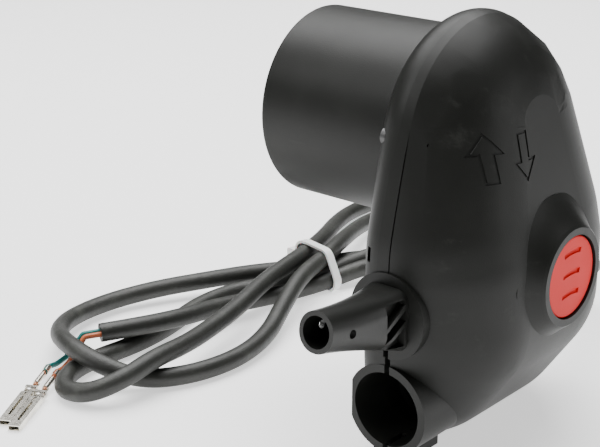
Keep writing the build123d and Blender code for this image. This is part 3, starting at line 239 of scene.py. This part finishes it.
def metal(name, colour, roughness, lay=(1, 1, 1)):
    """Bare metal with a cloudy film; its marks run along the axes with a small lay."""
    clouded = tuple(0.75 * value for value in colour)
    return finish_material(
        name, lambda place: place.noise(120, 4).between(0.3, 0.7).mix(clouded, colour),
        lambda place: roughness * (0.75 + 0.5 * place.noise(400, 3, 0.6, lay)), 1.0,
        bumps=[(lambda place: place.noise(500, 2, 0.5, lay), 0.000006)])


INSULATION = {"patches": (260, 3), "roughness": (0.3, 0.2), "grain": (500, 2)}
dress(mottled("wire_green_pvc", (0.0, 0.11, 0.11), (0.0, 0.22, 0.2), **INSULATION), "wire_green")
dress(mottled("wire_orange_pvc", (0.36, 0.07, 0.03), (0.72, 0.2, 0.07), **INSULATION), "wire_orange")
dress(metal("copper", (0.75, 0.36, 0.22), 0.35), "wire_cores", "windings", "commutator")

# ---- Terminals: push-on sleeves for a flat blade, stamped and rolled from tin-plated brass, one on
# each wire.
ROLLED_ALONG_Z = (1, 1, 0.3)
dress(metal("terminal_tin", (0.86, 0.83, 0.75), 0.26, ROLLED_ALONG_Z), "lead_terminals")

# ---- Housing: two injection-moulded shells of black polypropylene, split beside the motor cover,
# and the cup over the motor, bonded into the rear shell. All are satin from the mould, with a fine
# even texture and rub marks from handling.
HOUSING_BLACK, HOUSING_RUBBED = (0.0070, 0.0074, 0.0062), (0.0180, 0.0188, 0.0165)


def rub_marks(place):
    """1 on the rub marks, which are drawn out along X, and 0 between them."""
    return place.noise(75, 5, 0.7, (0.25, 1, 1)).between(0.56, 0.72)


def housing_colour(place):
    """Black, paler in a broad haze and on the rub marks."""
    haze = place.noise(14, 4, 0.6).between(0.35, 0.75)
    return (haze * 0.5 + rub_marks(place) * 0.6).between(0.0, 1.0).mix(HOUSING_BLACK, HOUSING_RUBBED)


def housing_roughness(place):
    """Satin, duller in broad patches, on the rub marks and in a fine grain."""
    return 0.39 + 0.08 * place.noise(25, 3) + 0.09 * rub_marks(place) + 0.05 * place.noise(1200, 2)


housing_plastic = finish_material(
    "housing_plastic", housing_colour, housing_roughness,
    bumps=[(lambda place: place.noise(24, 2, 0.4), 0.0004),
           (lambda place: place.noise(2200, 2, 0.6), 0.00004)],
    fixed={"Specular IOR Level": 0.25})
dress(housing_plastic, "front_shell", "rear_shell", "motor_cover")

# ---- Reaction-bar socket: tapered spout with ribbed windows at its root, one black moulding with a
# flange behind the wall. It is smoother and shinier than the shells.
nose_plastic = finish_material(
    "nose_plastic", housing_colour, lambda place: 0.33 + 0.1 * place.noise(60, 3),
    bumps=[(lambda place: place.noise(1800, 2, 0.6), 0.00004)],
    fixed={"Specular IOR Level": 0.4})
dress(nose_plastic, "reaction_bar_socket")

# ---- Push button: red moulded cap with three finger grooves. Its flange lies behind the shell's
# ledge, and its stem runs in the bridge behind it.
BUTTON_DARK, BUTTON_RED = (0.54, 0.004, 0.003), (0.66, 0.009, 0.006)


def button_roughness(place):
    """Satin, a little duller in patches and in a fine grain."""
    return 0.42 + 0.1 * place.noise(120, 3) + 0.05 * place.noise(1500, 2)


button_plastic = finish_material(
    "button_red", lambda place: place.noise(40, 3).mix(BUTTON_DARK, BUTTON_RED), button_roughness,
    bumps=[(lambda place: place.noise(2000, 2, 0.6), 0.00003)],
    fixed={"Specular IOR Level": 0.18})
dress(button_plastic, "run_button")

# ---- Bridge, plunger and switch: the bridge behind the button and the plunger are moulded in natural
# nylon. The switch body and the motor's brush card are black phenolic, and the switch has tinned legs.
dress(mottled("natural_nylon", (0.55, 0.53, 0.46), (0.66, 0.64, 0.57), (50, 3), (0.4, 0.15), (200, 3)),
      "switch_carrier", "switch_plunger")
dress(mottled("switch_black", (0.012, 0.012, 0.012), (0.03, 0.03, 0.03), (80, 3), (0.4, 0.2), (300, 3)),
      "switch_body", "brush_card")
dress(metal("switch_tin", (0.8, 0.78, 0.7), 0.3), "switch_terminals")

# ---- Shafts: ground steel bar, turned round its own axis, with the parts that are pinned, keyed or
# slid onto it. Motor, idler and worm run along X, the output along Y.
TURNED_ROUND_X, TURNED_ROUND_Y = (3, 0.3, 0.3), (0.3, 3, 0.3)
dress(metal("shaft_steel_x", (0.56, 0.56, 0.57), 0.28, TURNED_ROUND_X),
      "idler_axle", "worm_shaft", "motor_shaft")
dress(metal("shaft_steel_y", (0.56, 0.56, 0.57), 0.28, TURNED_ROUND_Y),
      "output_shaft", "output_hub", "hub_pin", "wheel_key", "output_spacer")

# ---- Gears and bushes: hobbed steel spur gears, a bronze wheel on the worm and turned bronze bushes.
# Their marks run round the axis, a little coarser than on the shafts.
CUT_ROUND_X, CUT_ROUND_Y = (3, 0.4, 0.4), (0.4, 3, 0.4)
dress(metal("gear_steel", (0.4, 0.4, 0.41), 0.36, CUT_ROUND_X),
      "idler_gear", "worm_shaft_gear", "motor_pinion")
dress(metal("gear_bronze", (0.72, 0.47, 0.22), 0.32, CUT_ROUND_Y), "worm_wheel")
dress(metal("bush_bronze", (0.66, 0.44, 0.22), 0.4, CUT_ROUND_X), "shaft_bushes", "motor_rear_bush")

# ---- Bearings: ball bearings with ground and polished rings, for the output shaft and for the front
# end of the motor.
dress(metal("bearing_steel", (0.7, 0.7, 0.71), 0.18), "output_bearings", "motor_front_bearing")

# ---- Gear frame: two plates punched from rolled steel sheet, four tubes between them, and long
# zinc-plated screws with nuts through both.
ROLLED_ALONG_Y = (1, 0.15, 1)
dress(metal("plate_steel", (0.5, 0.5, 0.48), 0.42, ROLLED_ALONG_Y),
      "gear_plate_rear", "gear_plate_front", "frame_pillars")
dress(metal("zinc_steel", (0.68, 0.69, 0.7), 0.3),
      "frame_screws", "frame_nuts", "motor_screws", "carrier_screws")

# ---- Shell screws: six pan-head screws from behind, sunk in their bosses, their zinc coloured dark as painted shade.
# Springs and retaining rings are bent from drawn spring steel.
# The dark grey of the shell screws is painted shade, which keeps them from catching a highlight in their
# bosses.
dress(metal("painted_shade_zinc", (0.1, 0.1, 0.1), 0.5), "shell_screws")
dress(metal("spring_steel", (0.5, 0.5, 0.52), 0.3), "button_spring", "idler_ring", "worm_shaft_ring")

# ---- Motor: a drawn can in black enamel with a die-cast end bell. Inside are two sintered ferrite
# arcs, an armature core stacked from steel sheets, and brushes pressed from carbon.
STACKED_ALONG_X = (4, 0.4, 0.4)
dress(mottled("can_enamel", (0.02, 0.02, 0.022), (0.045, 0.045, 0.048), (60, 4), (0.28, 0.12), (200, 3)),
      "motor_can")
dress(metal("cast_zinc", (0.62, 0.63, 0.64), 0.5), "motor_end_bell")
dress(metal("lamination_steel", (0.36, 0.36, 0.37), 0.45, STACKED_ALONG_X), "armature_core")
dress(mottled("ferrite", (0.03, 0.03, 0.034), (0.075, 0.075, 0.08), (300, 4), (0.5, 0.2), (500, 3)),
      "motor_magnets")
dress(mottled("carbon", (0.012, 0.012, 0.012), (0.04, 0.04, 0.04), (600, 4), (0.35, 0.25), (800, 3)),
      "brushes")

# ---- Table: a large level sheet of pale matt plastic, lit through from below, which keeps the
# shadows soft. It lies just under the lead and the head.
FLOOR_HALF = 6.0
FLOOR_Z = TABLE_Z - 0.0002
corners = [(x * FLOOR_HALF, y * FLOOR_HALF, FLOOR_Z) for x, y in ((-1, -1), (1, -1), (1, 1), (-1, 1))]
floor_data = bpy.data.meshes.new("floor")
floor_data.from_pydata(corners, [], [(0, 1, 2, 3)])
floor_data.materials.append(finish_material(
    "pale_table", (0.86, 0.86, 0.86), 0.6,
    fixed={"Emission Color": (1.0, 1.0, 1.0), "Emission Strength": 0.95}))
floor = bpy.data.objects.new("floor", floor_data)
bpy.context.scene.collection.objects.link(floor)

# ---- Light: one large soft box overhead and a small one on each side, turned to the middle of the
# head and its coil. The room adds little light, and is pale where it is looked at.
LIT_MIDDLE = Vector((-0.03, 0.04, 0.06))
ROOM_LIGHT = 0.07
ROOM_SEEN = 0.7


def soft_box(name, place, size, power):
    """Square area light at place, turned to the middle."""
    light = bpy.data.objects.new(name, bpy.data.lights.new(name, "AREA"))
    light.data.shape = "SQUARE"
    light.data.size, light.data.energy = size, power
    turned = (LIT_MIDDLE - Vector(place)).to_track_quat("-Z", "Y").to_matrix().to_4x4()
    light.matrix_world = Matrix.Translation(place) @ turned
    bpy.context.scene.collection.objects.link(light)


soft_box("soft_box_top", (-0.45, 0.35, 1.4), 1.6, 60)
soft_box("soft_box_left", (-0.6, -0.9, 1.0), 0.6, 8)
soft_box("soft_box_right", (1.0, 0.5, 0.45), 0.6, 3)

room = bpy.data.worlds.new("studio")
room.use_nodes = True
bpy.context.scene.world = room
background = room.node_tree.nodes["Background"]
background.inputs["Color"].default_value = (1.0, 1.0, 1.0, 1.0)
looked_at = Wire(room.node_tree, None).node("ShaderNodeLightPath")
strength = looked_at * ROOM_SEEN + ROOM_LIGHT
room.node_tree.links.new(strength.socket, background.inputs["Strength"])
